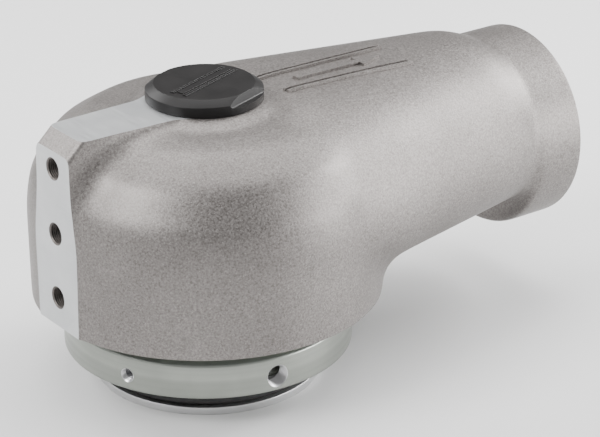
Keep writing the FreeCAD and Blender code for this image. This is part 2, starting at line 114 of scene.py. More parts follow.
def start_material(name, metallic, roughness):
    """A material with a Principled shader; returns it, its tree, the shader and the coordinates."""
    material = bpy.data.materials.new(name)
    material.use_nodes = True
    tree = material.node_tree
    shader = tree.nodes["Principled BSDF"]
    shader.inputs["Metallic"].default_value = metallic
    shader.inputs["Roughness"].default_value = roughness
    place = add_node(tree, "ShaderNodeTexCoord").outputs["Object"]
    return material, tree, shader, place


def grain(tree, place, scale, detail=3.0, rough=0.55):
    return add_node(tree, "ShaderNodeTexNoise", Vector=place, Scale=scale, Detail=detail,
                    Roughness=rough).outputs["Fac"]


def spread(tree, value, low, high, to_low, to_high):
    """Stretches a noise value from its usual band to the band that is wanted."""
    return add_node(tree, "ShaderNodeMapRange", Value=value, From_Min=low, From_Max=high,
                    To_Min=to_low, To_Max=to_high).outputs["Result"]


def two_tones(tree, factor, first, second):
    mix = tree.nodes.new("ShaderNodeMix")
    mix.data_type = "RGBA"
    tree.links.new(factor, mix.inputs[0])
    mix.inputs[6].default_value = (*first, 1)
    mix.inputs[7].default_value = (*second, 1)
    return mix.outputs[2]


def relief(tree, height, strength, depth, below=None):
    """Bump from a height; depth is in metres."""
    bump = add_node(tree, "ShaderNodeBump", Height=height, Strength=strength, Distance=depth)
    if below is not None:
        tree.links.new(below, bump.inputs["Normal"])
    return bump.outputs["Normal"]


# %% [markdown]
# ## Cast aluminium
#
# The hood is poured in a sand mould and blasted clean. It has a dull, slightly warm grey skin with a
# grain of about half a millimetre, small bright specks where the blast flattened a grain, and broad faint
# clouds. Three noises at three scales give this: a coarse one for the clouds, a fine one for the grain,
# and a finer one, cut off high, for the specks. A fourth, between the first two, only bumps the skin
# into low lumps.

# %% The cast skin


def cast_aluminium():
    material, tree, shader, place = start_material("cast_aluminium", 0.9, 0.5)
    clouds = grain(tree, place, 26.0, 4.0)
    fine = grain(tree, place, 1150.0, 3.0, 0.65)
    specks = spread(tree, grain(tree, place, 2600.0, 0.0), 0.68, 0.80, 0.0, 0.30)
    dark_skin, light_skin = (0.201, 0.188, 0.181), (0.243, 0.229, 0.220)
    skin = two_tones(tree, spread(tree, clouds, 0.3, 0.7, 0.0, 1.0), dark_skin, light_skin)
    dusty = add_node(tree, "ShaderNodeMix", {"data_type": "RGBA", "blend_type": "MULTIPLY"})
    dusty.inputs[0].default_value = 1.0
    tree.links.new(skin, dusty.inputs[6])
    dark_grain, light_grain = (0.62, 0.60, 0.59), (1.30, 1.30, 1.30)
    tree.links.new(two_tones(tree, spread(tree, fine, 0.32, 0.68, 0.0, 1.0), dark_grain, light_grain),
                   dusty.inputs[7])
    bright = add_node(tree, "ShaderNodeMix", {"data_type": "RGBA"})
    tree.links.new(specks, bright.inputs[0])
    tree.links.new(dusty.outputs[2], bright.inputs[6])
    bright.inputs[7].default_value = (0.62, 0.60, 0.58, 1)
    tree.links.new(bright.outputs[2], shader.inputs["Base Color"])
    tree.links.new(spread(tree, fine, 0.3, 0.7, 0.44, 0.58), shader.inputs["Roughness"])
    lumps = relief(tree, grain(tree, place, 240.0, 3.0), 0.22, 0.00030)
    tree.links.new(relief(tree, fine, 0.5, 0.00016, lumps), shader.inputs["Normal"])
    return material


# %% [markdown]
# ## Machined and turned aluminium
#
# The pad, the strip and the rim are milled: bright, bluish, with fine straight tool marks. Stretching the
# coordinates before the noise draws such marks: what varies quickly across them hardly varies along them.
# The ring, the neck and the flange are turned on a lathe, so their marks are circles about the axis. For
# those the noise reads the distance from the axis and the height in place of X, Y and Z. The ring also
# has a thin greenish conversion coat.

# %% Machined finishes


def milled_aluminium():
    material, tree, shader, place = start_material("milled_aluminium", 0.9, 0.4)
    stretch = (2200.0, 60.0, 2200.0)
    across = add_node(tree, "ShaderNodeMapping", Vector=place, Scale=stretch).outputs["Vector"]
    marks = grain(tree, across, 1.0, 2.0)
    clouds = grain(tree, place, 60.0, 3.0)
    tone = two_tones(tree, spread(tree, clouds, 0.3, 0.7, 0.0, 1.0), (0.54, 0.55, 0.56), (0.61, 0.62, 0.625))
    tree.links.new(tone, shader.inputs["Base Color"])
    tree.links.new(spread(tree, marks, 0.3, 0.7, 0.42, 0.54), shader.inputs["Roughness"])
    tree.links.new(relief(tree, marks, 0.12, 0.00004), shader.inputs["Normal"])
    return material


def turned(name, dark, light, rough_low, rough_high, depth, metallic=0.92):
    """A lathe finish: rings about the Z axis, from the radius and the height."""
    material, tree, shader, place = start_material(name, metallic, rough_low)
    parts = add_node(tree, "ShaderNodeSeparateXYZ", Vector=place)
    flat = add_node(tree, "ShaderNodeCombineXYZ", X=parts.outputs["X"], Y=parts.outputs["Y"])
    radius = add_node(tree, "ShaderNodeVectorMath", {"operation": "LENGTH"})
    tree.links.new(flat.outputs["Vector"], radius.inputs[0])
    lathe = add_node(tree, "ShaderNodeCombineXYZ", X=radius.outputs["Value"], Y=parts.outputs["Z"])
    rings = grain(tree, lathe.outputs["Vector"], 2600.0, 2.0, 0.6)
    bands = grain(tree, lathe.outputs["Vector"], 260.0, 2.0)
    clouds = grain(tree, place, 45.0, 3.0)
    both = add_node(tree, "ShaderNodeMath", {"operation": "MULTIPLY"})
    tree.links.new(bands, both.inputs[0])
    tree.links.new(clouds, both.inputs[1])
    tone = two_tones(tree, spread(tree, both.outputs["Value"], 0.12, 0.42, 0.0, 1.0), dark, light)
    tree.links.new(tone, shader.inputs["Base Color"])
    tree.links.new(spread(tree, rings, 0.3, 0.7, rough_low, rough_high), shader.inputs["Roughness"])
    tree.links.new(relief(tree, rings, 0.25, depth), shader.inputs["Normal"])
    return material


# %% [markdown]
# ## Plastic and rubber
#
# The cap is moulded in black plastic with a fine spark-eroded texture, a touch shiny. The O-rings are
# softer and duller, and pick up a little grey dust.

# %% Black finishes


def black_plastic():
    material, tree, shader, place = start_material("black_plastic", 0.0, 0.42)
    fine = grain(tree, place, 2200.0, 2.0)
    clouds = grain(tree, place, 90.0, 3.0)
    black, worn = (0.006, 0.0055, 0.0055), (0.010, 0.009, 0.009)
    tone = two_tones(tree, spread(tree, clouds, 0.3, 0.7, 0.0, 1.0), black, worn)
    tree.links.new(tone, shader.inputs["Base Color"])
    tree.links.new(spread(tree, clouds, 0.3, 0.7, 0.38, 0.46), shader.inputs["Roughness"])
    tree.links.new(relief(tree, fine, 0.18, 0.00008), shader.inputs["Normal"])
    shader.inputs["Specular IOR Level"].default_value = 0.25
    return material


def black_rubber():
    material, tree, shader, place = start_material("black_rubber", 0.0, 0.55)
    dust = grain(tree, place, 350.0, 4.0, 0.7)
    black, dusty = (0.012, 0.012, 0.013), (0.035, 0.034, 0.033)
    tone = two_tones(tree, spread(tree, dust, 0.4, 0.75, 0.0, 1.0), black, dusty)
    tree.links.new(tone, shader.inputs["Base Color"])
    tree.links.new(spread(tree, dust, 0.3, 0.7, 0.5, 0.65), shader.inputs["Roughness"])
    tree.links.new(relief(tree, dust, 0.2, 0.00006), shader.inputs["Normal"])
    return material


cast = cast_aluminium()
milled = milled_aluminium()
ring_finish = turned("ring_finish", (0.255, 0.270, 0.245), (0.315, 0.330, 0.300), 0.30, 0.42, 0.00003)
bright_turned = turned("bright_turned", (0.60, 0.60, 0.605), (0.72, 0.72, 0.725), 0.30, 0.42, 0.00003)
# The port bores get a dark brown-grey copy of the turned finish. This is painted shade that darkens the
# inside of the deep threaded holes; the bare metal there is as bright as the rest.
port_shade = turned("port_painted_shade", (0.10, 0.09, 0.085), (0.16, 0.145, 0.135), 0.40, 0.55, 0.00003, 0.8)
steel = turned("turned_steel", (0.42, 0.42, 0.43), (0.55, 0.55, 0.56), 0.22, 0.34, 0.00002, 1.0)
bronze = turned("bronze_finish", (0.52, 0.33, 0.14), (0.66, 0.45, 0.20), 0.28, 0.40, 0.00002, 1.0)
plastic = black_plastic()
rubber = black_rubber()
print("materials:", [m.name for m in bpy.data.materials])

# %% [markdown]
# ## Mesh helpers
#
# Almost every piece of a valve is turned, so the main helper spins an outline about an axis. An outline
# is a list of corners, each with a radius and a height, and a third number where a corner is rounded. A
# real edge is never perfectly sharp, and the small roundings are what catches the light.

# %% Helpers for turned shapes


def rounded(outline, steps=4):
    """Outline points with the corners that have a third number, their rounding, made into arcs."""
    points = []
    for i, corner in enumerate(outline):
        here = Vector(corner[:2])
        if len(corner) < 3:
            points.append(here)
            continue
        before = (Vector(outline[i - 1][:2]) - here).normalized()
        after = (Vector(outline[(i + 1) % len(outline)][:2]) - here).normalized()
        half = before.angle(after) / 2
        reach = corner[2] / math.tan(half)
        centre = here + (before + after).normalized() * corner[2] / math.sin(half)
        first = here + before * reach - centre
        last = here + after * reach - centre
        for step in range(steps + 1):
            blend = first.lerp(last, step / steps)
            points.append(centre + blend.normalized() * corner[2])
    return points


def new_object(name, bm, material_list):
    """A scene object from a bmesh, with its place in its mesh."""
    mesh = bpy.data.meshes.new(name)
    bm.to_mesh(mesh)
    bm.free()
    for material in material_list:
        mesh.materials.append(material)
    made = bpy.data.objects.new(name, mesh)
    bpy.context.scene.collection.objects.link(made)
    return made


def spun(outline, segments=128, axis="Z", centre=(0, 0, 0), material_index=0):
    """A bmesh turned from a closed outline of radius and height in millimetres, about Z or X."""
    bm = bmesh.new()
    ring = [bm.verts.new((p.x * MM, 0, p.y * MM)) for p in rounded(outline)]
    pairs = [(ring[i - 1], ring[i]) for i in range(len(ring))]
    edges = [bm.edges.new(pair) for pair in pairs if max(vert.co.x for vert in pair) > 0]
    bmesh.ops.spin(bm, geom=ring + edges, cent=(0, 0, 0), axis=(0, 0, 1), dvec=(0, 0, 0), angle=2 * math.pi,
                   steps=segments, use_merge=True, use_normal_flip=False, use_duplicate=False)
    bmesh.ops.remove_doubles(bm, verts=bm.verts, dist=0.00001)
    bmesh.ops.dissolve_degenerate(bm, edges=bm.edges, dist=0.000001)
    bmesh.ops.recalc_face_normals(bm, faces=bm.faces)
    if axis == "X":
        bmesh.ops.rotate(bm, verts=bm.verts, cent=(0, 0, 0), matrix=Matrix.Rotation(math.pi / 2, 3, "Y"))
    bmesh.ops.translate(bm, verts=bm.verts, vec=Vector(centre) * MM)
    for face in bm.faces:
        face.smooth = True
        face.material_index = material_index
    return bm


def bar(radius, low, high, **where):
    """Outline of a plain round bar, spun."""
    return spun([(0, low), (radius, low), (radius, high), (0, high)], **where)


def prism(outline, thickness, axis="Y", low=0.0, material_index=0):
    """A bmesh extruded from a flat outline: X and Z corners along Y, or X and Y corners along Z."""
    bm = bmesh.new()
    if axis == "Y":
        ring = [bm.verts.new((x * MM, low * MM, z * MM)) for x, z in outline]
        step = Vector((0, thickness * MM, 0))
    else:
        ring = [bm.verts.new((x * MM, y * MM, low * MM)) for x, y in outline]
        step = Vector((0, 0, thickness * MM))
    face = bm.faces.new(ring)
    grown = bmesh.ops.extrude_face_region(bm, geom=[face])["geom"]
    bmesh.ops.translate(bm, verts=[v for v in grown if isinstance(v, bmesh.types.BMVert)], vec=step)
    bmesh.ops.recalc_face_normals(bm, faces=bm.faces)
    for face in bm.faces:
        face.material_index = material_index
    return bm


def apply_modifiers(piece):
    """Bakes the piece's modifiers into its mesh."""
    graph = bpy.context.evaluated_depsgraph_get()
    finished = bpy.data.meshes.new_from_object(piece.evaluated_get(graph))
    old = piece.data
    piece.modifiers.clear()
    piece.data = finished
    bpy.data.meshes.remove(old)


def carve(piece, cutters, operation="DIFFERENCE"):
    """Cuts each bmesh in cutters out of the piece, or joins it on, and applies the result."""
    for cutter_mesh in cutters:
        cutter = new_object("cutter", cutter_mesh, piece.data.materials)
        cut = piece.modifiers.new("cut", "BOOLEAN")
        cut.operation = operation
        cut.solver = "EXACT"
        cut.object = cutter
        apply_modifiers(piece)
        bpy.data.objects.remove(cutter)
    return piece


def crisp(piece, angle=32):
    """Smooth shading with hard edges where two faces meet at more than the angle."""
    for face in piece.data.polygons:
        face.use_smooth = True
    piece.data.set_sharp_from_angle(angle=math.radians(angle))


def count(piece):
    piece.data.calc_loop_triangles()
    print(piece.name, "triangles:", len(piece.data.loop_triangles))


# %% [markdown]
# ## The hood's main sizes
#
# Where a size can be read from the frame it is read from there, so that the new hood sits exactly where
# the frame's hood does. The others are written once here, in millimetres.

# %% Sizes of the hood
hood_low, hood_high = (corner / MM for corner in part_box("hood"))
ring_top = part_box("mounting_ring")[1].z / MM
rim_z = ring_top + 9.3
dome_r = hood_high.y
pad_x = -hood_low.x
strip_z = hood_high.z
dome_top = strip_z - 3.4
dome_corner = 40.0
lean_z = dome_top - dome_corner - 8.5
spigot_end = hood_high.x
spigot_back = spigot_end - 24.0
spigot_r = 45.0
spigot_z = rim_z + 34.8
duct_low = rim_z + 9.0
wall = 5.5
floor_t = 6.0
bore_r = 20.0
column_r = 26.0
bore_floor = rim_z + 10.9
port_heights = [rim_z + 13.5 + 29.2 * i for i in range(3)]
cap_thread_low = strip_z - 10.9
print("rim at", round(rim_z, 2), "strip at", round(strip_z, 2), "spigot from", round(spigot_back, 2))

# %% [markdown]
# ## The raw casting
#
# A casting is one smooth skin over several plain bodies: a dome, a duct that tapers to the spigot, a
# spine that carries the ports, and a round boss under the cap. Where they meet, the pattern maker runs a
# fillet. Modelling those fillets by hand is slow. A quicker way is to make the plain bodies, melt them
# together with a voxel remesh, push the skin outwards by the fillet's radius and pull it back again.
# Outside corners come back nearly as they were, but inside corners stay filled with a round fillet.

# %% Plain bodies of the casting


def dome(inset, extra=0.0):
    """The dome's body; inset gives the hollow, extra lengthens it below the rim."""
    radius = dome_r - inset
    low = rim_z + (floor_t if inset else -extra)
    top = dome_top - inset
    return spun([(0, low), (radius - 0.5, low), (radius, lean_z), (radius, top, dome_corner - inset),
                 (0, top)])


def section_loop(bm, x, half_w, low, high, low_corner, high_corner, steps=14):
    """One closed loop across the duct, with rounded corners."""
    centres = [(half_w - high_corner, high - high_corner, high_corner, 0),
               (-half_w + high_corner, high - high_corner, high_corner, 90),
               (-half_w + low_corner, low + low_corner, low_corner, 180),
               (half_w - low_corner, low + low_corner, low_corner, 270)]
    ring = []
    for y, z, r, turn in centres:
        for step in range(steps + 1):
            a = math.radians(turn + 90 * step / steps)
            ring.append(bm.verts.new((x * MM, (y + r * math.cos(a)) * MM, (z + r * math.sin(a)) * MM)))
    return [bm.edges.new((ring[i - 1], ring[i])) for i in range(len(ring))]


def duct(inset):
    """Tapered duct from the dome to the spigot, through four sections."""
    root_x, full_x, shoulder = 14.0, 33.0, 14.0
    root_w = dome_r - 2.0
    end_x = spigot_back + (5.0 if inset else 0.0)
    end_off = inset + (1.4 if inset else 0.0)
    taper = (root_w - spigot_r + 0.82) / (spigot_back - root_x)
    stations = [(root_x, dome_top - 0.7, 33.5, inset), (full_x, strip_z - 0.3, 21.4, inset),
                (spigot_back - shoulder, strip_z - 1.0, 0.5, inset),
                (end_x, spigot_z + spigot_r - 0.3, 1.5, end_off)]
    bm = bmesh.new()
    loops = []
    for x, top, flat, off in stations:
        half_w = root_w - taper * (x - root_x)
        corner = min(half_w - flat, top - duct_low - 27.4)
        loops.append(section_loop(bm, x, half_w - off, duct_low + inset, top - off, 27.0 - off,
                                  corner - off))
    for first, second in zip(loops, loops[1:]):
        bmesh.ops.bridge_loops(bm, edges=first + second)
    bmesh.ops.holes_fill(bm, edges=loops[0] + loops[-1])
    bmesh.ops.recalc_face_normals(bm, faces=bm.faces)
    return bm


def raw_spine(spare, half_w=12.6, below=8.0):
    """The upright rib; spare is the metal that the pad's and the strip's cuts take away."""
    chamfer_x, chamfer_z = 6.3, 5.9
    slope = chamfer_z / chamfer_x
    front = -pad_x - spare
    outline = [(front, rim_z - below), (front, strip_z - chamfer_z - spare * slope),
               (-pad_x + chamfer_x + spare / slope, strip_z + spare), (0, strip_z + spare),
               (0, rim_z - below)]
    return prism(outline, 2 * half_w, low=-half_w)


def raw_boss():
    """The cast collar round the cap; it stays just below the milled strip."""
    foot_r, collar_r = 31.2, 27.4
    top = strip_z - 0.35
    return spun([(0, dome_top - wall), (foot_r, dome_top - wall), (foot_r, dome_top), (collar_r, top),
                 (0, top)])


def cap_seat():
    """The milled face that the cap sits on, hidden under it."""
    seat_r = 23.2
    return bar(seat_r, dome_top - wall, strip_z + 1.0)


# %% [markdown]
# The voxel remesh walks a fine grid over the joined bodies and wraps one even skin round them. The push
# out and the pull back go in small steps, with a remesh after each, so that the skin never folds over
# itself.

# %% Melt the bodies together


def join_into(bodies, start=None):
    """One bmesh from several; start is an object that they join."""
    whole = bmesh.new()
    if start:
        whole.from_mesh(start.data)
    for body in bodies:
        part = bpy.data.meshes.new("part")
        body.to_mesh(part)
        body.free()
        whole.from_mesh(part)
        bpy.data.meshes.remove(part)
    return whole


def remesh(piece, voxel):
    melt = piece.modifiers.new("melt", "REMESH")
    melt.mode = "VOXEL"
    melt.voxel_size = voxel * MM
    apply_modifiers(piece)


def push(piece, distance):
    """Moves the skin along its normals."""
    move = piece.modifiers.new("push", "DISPLACE")
    move.strength = distance * MM
    move.mid_level = 0.0
    apply_modifiers(piece)


def relax(piece, rounds, factor=0.5):
    ease = piece.modifiers.new("ease", "SMOOTH")
    ease.factor = factor
    ease.iterations = rounds
    apply_modifiers(piece)


fillet_r = 8.0
fillet_steps = 4
skin_voxel = 1.6
bodies = join_into([dome(0, extra=6.0), duct(0), raw_spine(spare=0.2)])
hood = new_object("hood_casting", bodies, [cast, milled, port_shade])
remesh(hood, skin_voxel)
for direction in (1, -1):
    for step in range(fillet_steps):
        push(hood, direction * fillet_r / fillet_steps)
        remesh(hood, skin_voxel)
        relax(hood, 1)
count(hood)

# %% [markdown]
# The pushes also round the outside corners more than a mould does. So the spine joins once more with its
# sharp edges, and the boss, the cap's seat and the spigot join only now. A finer remesh gives the final
# skin. A second push out and in, by less than two millimetres, runs a small fillet into the new valleys,
# such as the one between the duct and the spigot, and a few rounds of smoothing take the grid's traces
# out of it.

# %% Sharpen the skin and ease it
fine_voxel, valley_r = 1.25, 1.7
spigot_body = bar(spigot_r, spigot_back, spigot_end + 3.0, axis="X", centre=(0, 0, spigot_z))
join_into([raw_spine(spare=8.0, half_w=12.9), raw_boss(), cap_seat(), spigot_body], hood).to_mesh(hood.data)
remesh(hood, fine_voxel)
for direction in (1, -1):
    for step in range(2):
        push(hood, direction * valley_r / 2)
        remesh(hood, fine_voxel)
relax(hood, 3)
count(hood)

# %% [markdown]
# ## Machining the casting
#
# On the real hood a mill takes the last millimetres off the pad, the strip, the rim and the spigot's end.
# We do the same: a plane cuts the skin and the hole is filled with a flat face of its own material. The
# rim is cut by a wide disc instead, taken away with a Boolean. Because the cuts come after the smoothing,
# their edges stay crisp, as they are on the real part.

# %% Cut the flat faces


def mill_flat(piece, point, normal, finish):
    """Cuts away what lies beyond the plane and closes the cut with a flat face."""
    bm = bmesh.new()
    bm.from_mesh(piece.data)
    everything = bm.verts[:] + bm.edges[:] + bm.faces[:]
    cut = bmesh.ops.bisect_plane(bm, geom=everything, dist=0.0000005, plane_co=Vector(point) * MM,
                                 plane_no=normal, clear_outer=True, clear_inner=False)["geom_cut"]
    edges = [e for e in cut if isinstance(e, bmesh.types.BMEdge)]
    filled = bmesh.ops.holes_fill(bm, edges=edges)["faces"]
    for face in filled:
        face.material_index = finish
    bm.to_mesh(piece.data)
    bm.free()
    return len(filled)


# The third slot holds the painted shade inside the ports.
CAST, MILLED, PORT_SHADE = 0, 1, 2
flats = (((-pad_x, 0, 0), (-1, 0, 0)), ((0, 0, strip_z), (0, 0, 1)), ((spigot_end, 0, 0), (1, 0, 0)))
for point, normal in flats:
    print("flat faces made:", mill_flat(hood, point, normal, MILLED))
below_rim = bar(dome_r + 5, rim_z - 20, rim_z, material_index=MILLED)
carve(hood, [below_rim])

# %% [markdown]
# ## Hollowing the hood
#
# Inside, vapour rises through the neck, passes on both sides of the air cylinder and leaves through the
# duct. The hollow is a body of its own: the dome's and the duct's insides, less the column, its hub and
# the web that carries the ports. Cutting it out in one go leaves walls of nearly even thickness.

# %% Cut the hollow


def hollow():
    """The space inside the casting."""
    space = new_object("hollow", dome(wall), [cast, milled])
    bore = bar(spigot_r - 5.0, spigot_back + 4.0, spigot_end + 1.0, axis="X", centre=(0, 0, spigot_z))
    mouth = bar(54.65, rim_z - 1.0, rim_z + floor_t + 2.0)
    carve(space, [duct(wall), bore, mouth], "UNION")
    column = bar(column_r, bore_floor - 6.0, strip_z + 5.0)
    hub_r, web_half = 12.5, 8.5
    hub = bar(hub_r, bore_floor - 19.0, bore_floor - 5.0)
    web = prism([(-pad_x - 5, bore_floor - 6.0), (-pad_x - 5, strip_z + 4), (0, strip_z + 4),
                 (0, bore_floor - 6.0)], 2 * web_half, low=-web_half)
    carve(space, [column, hub, web])
    return space


inside = hollow()
inside_mesh = bmesh.new()
inside_mesh.from_mesh(inside.data)
bpy.data.objects.remove(inside)
carve(hood, [inside_mesh])
count(hood)

# %% [markdown]
# ## Threads, bore and ports
#
# A thread seen from outside is a row of fine ridges in the hole. A zigzag outline spun about the hole's
# axis cuts them. It has no lead, unlike a real thread, but at this size nobody can tell, and the mesh
# stays closed. Each hole is one outline with its countersink, thread and drilled end, so one cut makes
# it.

# %% Cut the bore and the ports


def ridges(major_r, depth, start, end, pitch):
    """Zigzag outline of a thread between two heights."""
    way = math.copysign(pitch, end - start)
    points = []
    for i in range(int(abs(end - start) / pitch)):
        here = start + i * way
        points += [(major_r - depth, here + 0.1 * way), (major_r, here + 0.5 * way),
                   (major_r - depth, here + 0.9 * way)]
    return points


bush_r, seal_r = 7.5, 8.5
seal_seat = strip_z - 4.2
seal_top = bore_floor - 13.7
hub_end = bore_floor - 19.0
bore_cutter = spun(
    [(0, strip_z + 1), (22.0, strip_z + 1), (21.0, strip_z), (21.0, seal_seat), (20.1, seal_seat - 0.4)]
    + ridges(21.0, 0.9, seal_seat - 0.6, cap_thread_low + 0.8, 1.6)
    + [(20.1, cap_thread_low + 0.4), (bore_r, cap_thread_low), (bore_r, bore_floor), (bush_r, bore_floor),
       (bush_r, seal_top), (seal_r, seal_top), (seal_r, hub_end - 1), (0, hub_end - 1)],
    96, material_index=MILLED)
carve(hood, [bore_cutter])

port_r, port_depth, port_thread, passage_r = 4.865, 12.0, 0.58, 2.0
# Each port's cutter leaves the dark finish on the walls of its hole, which paints shade into the thread.
for port_z in port_heights:
    port = spun(
        [(0, -1.0), (5.7, -1.0), (5.0, 0.0), (4.3, 0.6)]
        + ridges(port_r, port_thread, 0.8, port_depth, 0.907)
        + [(port_r - port_thread, port_depth), (passage_r, port_depth + 1.5),
           (passage_r, pad_x - bore_r + 1),
           (0, pad_x - bore_r + 1)], 48, "X", (-pad_x, 0, port_z), PORT_SHADE)
    carve(hood, [port])
count(hood)

# %% [markdown]
# ## Raised lines on the duct
#
# Two pairs of plain raised lines stand on top of the duct and frame a plain flow arrow, which points to
# the hose. Such marks must follow the curved skin. So each starts as a flat plate, is cut into short
# lengths, and then every corner is dropped on the skin by a ray from above, the top corners a little
# over it and the bottom ones under it. One Boolean joins them all.

# %% Raised lines and flow arrow


def dropped(outlines, height, sink=0.8, every=4.0):
    """One bmesh of closed plates that follow the hood's skin."""
    corners = [v.co for v in hood.data.vertices]
    skin_tree = BVHTree.FromPolygons(corners, [p.vertices for p in hood.data.polygons])
    plates = join_into([prism(outline, 1.0, "Z") for outline in outlines])
    low = min(v.co.x for v in plates.verts) / MM
    high = max(v.co.x for v in plates.verts) / MM
    for i in range(1, int((high - low) / every)):
        everything = plates.verts[:] + plates.edges[:] + plates.faces[:]
        bmesh.ops.bisect_plane(plates, geom=everything, dist=0.0000005, plane_no=(1, 0, 0),
                               plane_co=((low + i * every) * MM, 0, 0))
    for vert in plates.verts:
        skin = skin_tree.ray_cast(Vector((vert.co.x, vert.co.y, 1.0)), Vector((0, 0, -1)))[0].z
        vert.co.z = skin + (height if vert.co.z > 0.5 * MM else -sink) * MM
    return plates


def line(start, end, width):
    """Outline of a straight line between two places on the duct."""
    side = (Vector(end) - Vector(start)).normalized().orthogonal() * width / 2
    return [tuple(Vector(start) - side), tuple(Vector(end) - side), tuple(Vector(end) + side),
            tuple(Vector(start) + side)]


def flow_arrow(tail, tip, y, shaft_w, head_w, head_l):
    neck = tip - head_l
    return [(tail, y - shaft_w / 2), (neck, y - shaft_w / 2), (neck, y - head_w / 2), (tip, y),
            (neck, y + head_w / 2), (neck, y + shaft_w / 2), (tail, y + shaft_w / 2)]


line_w, line_pitch, mark_h = 1.3, 2.7, 1.25
marks = [flow_arrow(44.0, 90.0, -4.8, 3.4, 9.5, 12.0)]
for start, end in (((31.0, 5.6), (98.0, 5.4)), ((32.5, -14.0), (99.0, -15.8))):
    for shift in (-line_pitch / 2, line_pitch / 2):
        marks.append(line((start[0], start[1] + shift), (end[0], end[1] + shift), line_w))
carve(hood, [dropped(marks, mark_h)], "UNION")
crisp(hood)
count(hood)

# %% [markdown]
# The finished hood rides on the hood's body and stands for the frame's node of that name.

# %% Hand the hood over
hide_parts("hood")
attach(hood, "hood")

# %% [markdown]
# ## The clamp ring
#
# A turned ring clamps the neck. Its outer edge is rounded by a full millimetre at the top and by half of
# one at the bottom, and it has three small threaded holes for grub screws and three larger ones. The
# same zigzag outline cuts the holes.

# %% Clamp ring
ring_low, ring_high = (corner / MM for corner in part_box("mounting_ring"))
ring_r = ring_high.y
ring_bore = 56.3
neck_r = 56.1
lip_r = 50.65
lip_top = ring_low.z + 1.6
clamp_z = ring_low.z + 6.7
ring_mesh = spun([(lip_r, ring_low.z), (ring_r, ring_low.z, 0.5), (ring_r, ring_high.z, 1.0),
                  (ring_bore, ring_high.z, 0.4), (ring_bore, lip_top), (lip_r, lip_top)], 192)
clamp_ring = new_object("clamp_ring", ring_mesh, [ring_finish, bright_turned])


def radial_cutter(outline, angle, segments=48):
    """A cutter made along X at the clamp holes' height, turned to its angle."""
    bm = spun([(r, z) for r, z in outline], segments, "X", (0, 0, clamp_z), 1)
    bmesh.ops.rotate(bm, verts=bm.verts, cent=(0, 0, 0), matrix=Matrix.Rotation(math.radians(angle), 3, "Z"))
    return bm


def clamp_hole(hole_r, thread, sink):
    """Outline of one radial hole, from outside in: countersink, thread and way out."""
    return ([(0, ring_r + 1), (hole_r + sink + 1, ring_r + 1), (hole_r - thread, ring_r - sink)]
            + ridges(hole_r, thread, ring_r - sink - 0.1, ring_bore - 2, 1.0)
            + [(hole_r - thread, ring_bore - 3), (0, ring_bore - 3)])


for hole_r, thread, angles in ((3.0, 0.35, (-157.0, -37.0, 83.0)), (5.0, 0.5, (-97.0, 23.0, 143.0))):
    for angle in angles:
        carve(clamp_ring, [radial_cutter(clamp_hole(hole_r, thread, 0.5), angle)])
crisp(clamp_ring)
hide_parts("mounting_ring")
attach(clamp_ring, "base")
count(clamp_ring)

# %% [markdown]
# ## Lower flange and its O-ring
#
# The seat body is one turned piece: the lower flange, the groove for the big O-ring, the land above it,
# the lip that the clamp ring holds, and inside them the seat and the throat. Only its edges differ from
# the frame's, so its outline is spun again with small roundings. The O-ring is a plain torus, spun from a
# circle.

# %% Lower flange
flange_r, flange_t = 50.0, 3.5
groove_top = ring_low.z - 4.0
groove_r = flange_r - 7.2
seat_top = lip_top + 1.6
seat_mesh = spun([
    (39.5, 0, 0.4), (flange_r, 0, 0.4), (flange_r, flange_t, 0.25), (groove_r, flange_t),
    (groove_r, groove_top),
    (flange_r, groove_top, 0.25), (flange_r, ring_low.z), (50.6, ring_low.z), (50.6, lip_top),
    (neck_r, lip_top),
    (neck_r, seat_top, 0.2), (40.0, seat_top, 0.3), (32.0, seat_top - 6.0, 0.5), (32.0, 8.0, 0.4),
    (39.5, 8.0)], 192)
lower_flange = new_object("lower_flange", seat_mesh, [bright_turned])
crisp(lower_flange)
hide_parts("seat_body")
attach(lower_flange, "base")
count(lower_flange)


def torus(inner_r, section, height, segments=192, sides=20):
    """O-ring from its bore, its section and the height of its middle."""
    circle = []
    for i in range(sides):
        a = 2 * math.pi * i / sides
        circle.append((inner_r + section / 2 * (1 + math.cos(a)), height + section / 2 * math.sin(a)))
    return spun(circle, segments)


big_seal = new_object("big_oring", torus(groove_r + 0.02, 6.97, flange_t + 3.65), [rubber])
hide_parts("spigot_oring")
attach(big_seal, "base")
count(big_seal)

# %% [markdown]
# ## The cap
#
# The cap closes the air cylinder. It is a flat disc with a conical shoulder, two spanner flats and a
# plug, which has a thread on the real cap and is left plain here. Each flat leans in towards the top and
# ends on a narrow shelf below. Mould corners are round, so after cutting the flats a Bevel modifier
# softens the hard edges. The middle of the top carries a plain raised bar between double ribs.

# %% Cap
cap_r, cap_side, cap_h, cap_top_r = 25.2, 4.6, 7.1, 21.5
cap_turn = 20.0
shelf_h, flat_foot, flat_head = 3.2, 22.4, 21.2
plug_low = strip_z - 10.0
cap_mesh = spun([
    (0, strip_z + 1.2), (17.3, strip_z + 1.2), (17.3, plug_low), (20.0, plug_low), (20.0, strip_z - 4.1),
    (18.8, strip_z - 4.1), (18.8, strip_z - 1.4), (20.0, strip_z - 1.4), (20.0, strip_z + 0.02),
    (cap_r, strip_z + 0.02, 0.3), (cap_r, strip_z + cap_side, 0.5), (cap_top_r, strip_z + cap_h, 0.8),
    (0, strip_z + cap_h)], 160)
cap = new_object("cap", cap_mesh, [plastic])


def turn_cap_part(bm, turn):
    bmesh.ops.rotate(bm, verts=bm.verts, cent=(0, 0, 0), matrix=Matrix.Rotation(math.radians(turn), 3, "Z"))
    return bm


